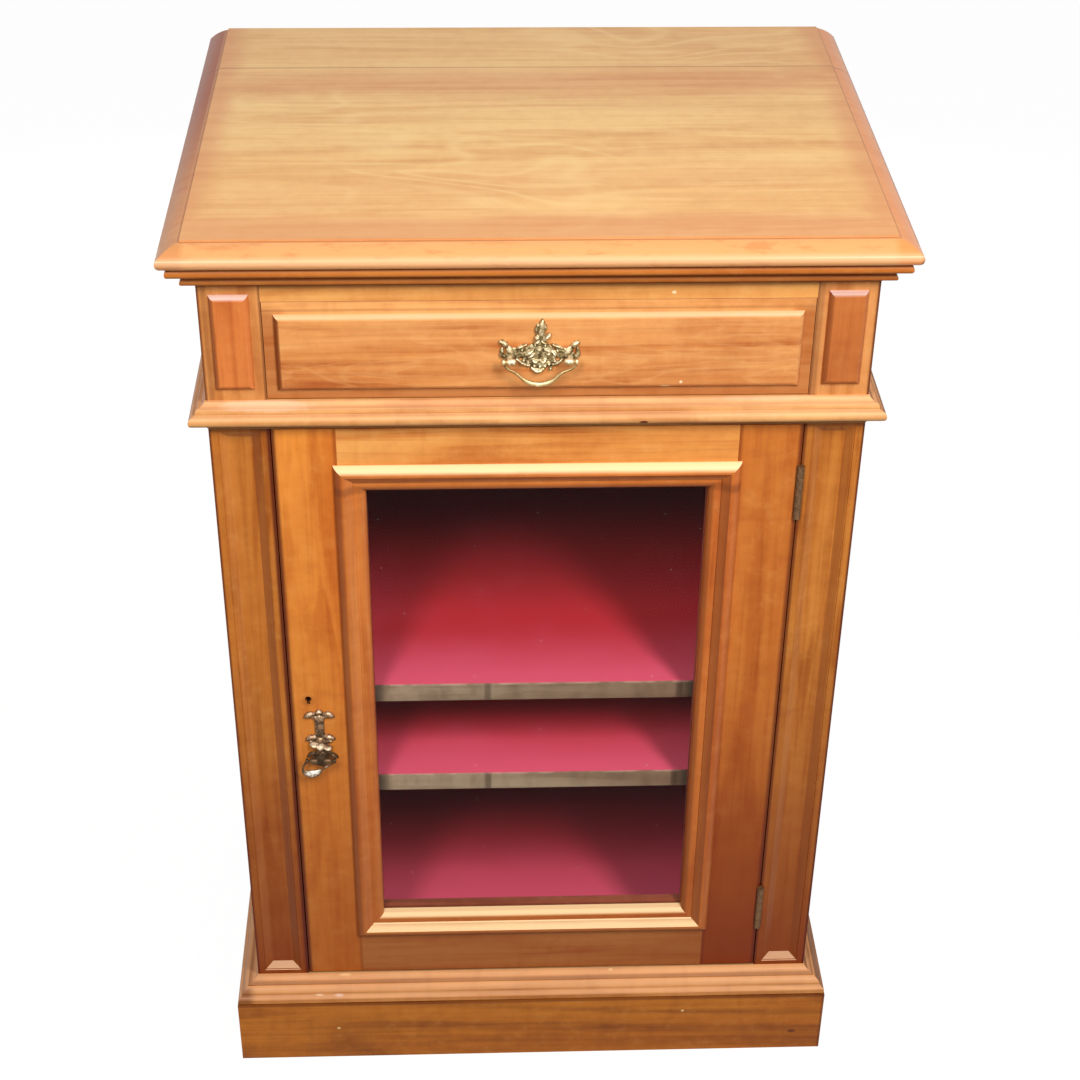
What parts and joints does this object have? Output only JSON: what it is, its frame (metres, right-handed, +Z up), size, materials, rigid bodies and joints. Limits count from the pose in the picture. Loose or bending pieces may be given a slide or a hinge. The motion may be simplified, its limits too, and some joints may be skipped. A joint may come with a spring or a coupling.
{
  "type": "pier cabinet",
  "caption": "Upright wooden pier cabinet with a moulded top, a frieze drawer on runners, a glazed door on butt hinges, fixed shelves, and brass drop handles that swing.",
  "frame": {"origin": "centre of the footprint on the floor", "axes": "+Z up, -Y towards the front with the door and drawer, +X to the right as seen from the front"},
  "size_m": [0.61, 0.477, 0.928],
  "materials": {
    "walnut": "satin",
    "shelf_wood": "worn satin",
    "pine": "bare planed",
    "brass": "aged",
    "lock_steel": "dull",
    "glass": "clear",
    "crimson_cloth": "matt cloth"
  },
  "bodies": {
    "cabinet": {"top_front_board": "walnut", "top_back_board": "walnut", "bed_moulding": "walnut", "side_left": "walnut", "side_right": "walnut", "back_boards": "pine", "frieze_post_left": "walnut", "frieze_post_right": "walnut", "frieze_blocks": "walnut", "drawer_top_rail": "walnut", "drawer_divider_rail": "walnut", "dust_board": "pine", "drawer_runners": "pine", "drawer_kickers": "pine", "drawer_stops": "pine", "rear_top_rail": "pine", "waist_moulding": "walnut", "pilaster_left": "walnut", "pilaster_right": "walnut", "bottom_rail": "pine", "bottom_board": "pine", "shelf_upper": "shelf_wood", "shelf_lower": "shelf_wood", "shelf_bearers": "pine", "shelf_linings": "crimson_cloth", "lining_walls": "crimson_cloth", "lining_floor": "crimson_cloth", "plinth_front": "walnut", "plinth_left": "walnut", "plinth_right": "walnut", "plinth_cap": "walnut", "glue_blocks": "pine", "door_stop": "walnut", "hinge_case_leaves": "brass", "hinge_case_screws": "brass"},
    "drawer": {"drawer_front": "walnut", "drawer_panel": "walnut", "drawer_side_left": "pine", "drawer_side_right": "pine", "drawer_back": "pine", "drawer_bottom": "pine", "drawer_handle_plate": "brass", "drawer_handle_posts": "brass"},
    "drawer_bail": {"drawer_bail": "brass"},
    "door": {"door_stile_left": "walnut", "door_stile_right": "walnut", "door_rail_top": "walnut", "door_rail_bottom": "walnut", "glazing_moulding": "walnut", "door_glass": "glass", "glazing_beads": "walnut", "lock_case": "lock_steel", "lock_bolt": "brass", "lock_screws": "brass", "hinge_door_leaves": "brass", "hinge_door_screws": "brass", "door_handle_plate": "brass", "door_handle_posts": "brass"},
    "door_pull": {"door_pull": "brass"}
  },
  "joints": [
    {"name": "drawer_slide", "type": "slide", "parent": "cabinet", "child": "drawer", "axis": [0, -1, 0], "range_m": [0, 0.32]},
    {"name": "drawer_bail_swing", "type": "hinge", "parent": "drawer", "child": "drawer_bail", "pos_m": [0, -0.2272, 0.819], "axis": [-1, 0, 0], "range_deg": [0, 110]},
    {"name": "door_hinge", "type": "hinge", "parent": "cabinet", "child": "door", "pos_m": [0.2264, -0.213, 0.4305], "axis": [0, 0, 1], "range_deg": [0, 165]},
    {"name": "door_pull_swing", "type": "hinge", "parent": "door", "child": "door_pull", "pos_m": [-0.20035, -0.2222, 0.391], "axis": [-1, 0, 0], "range_deg": [0, 100]}
  ]
}
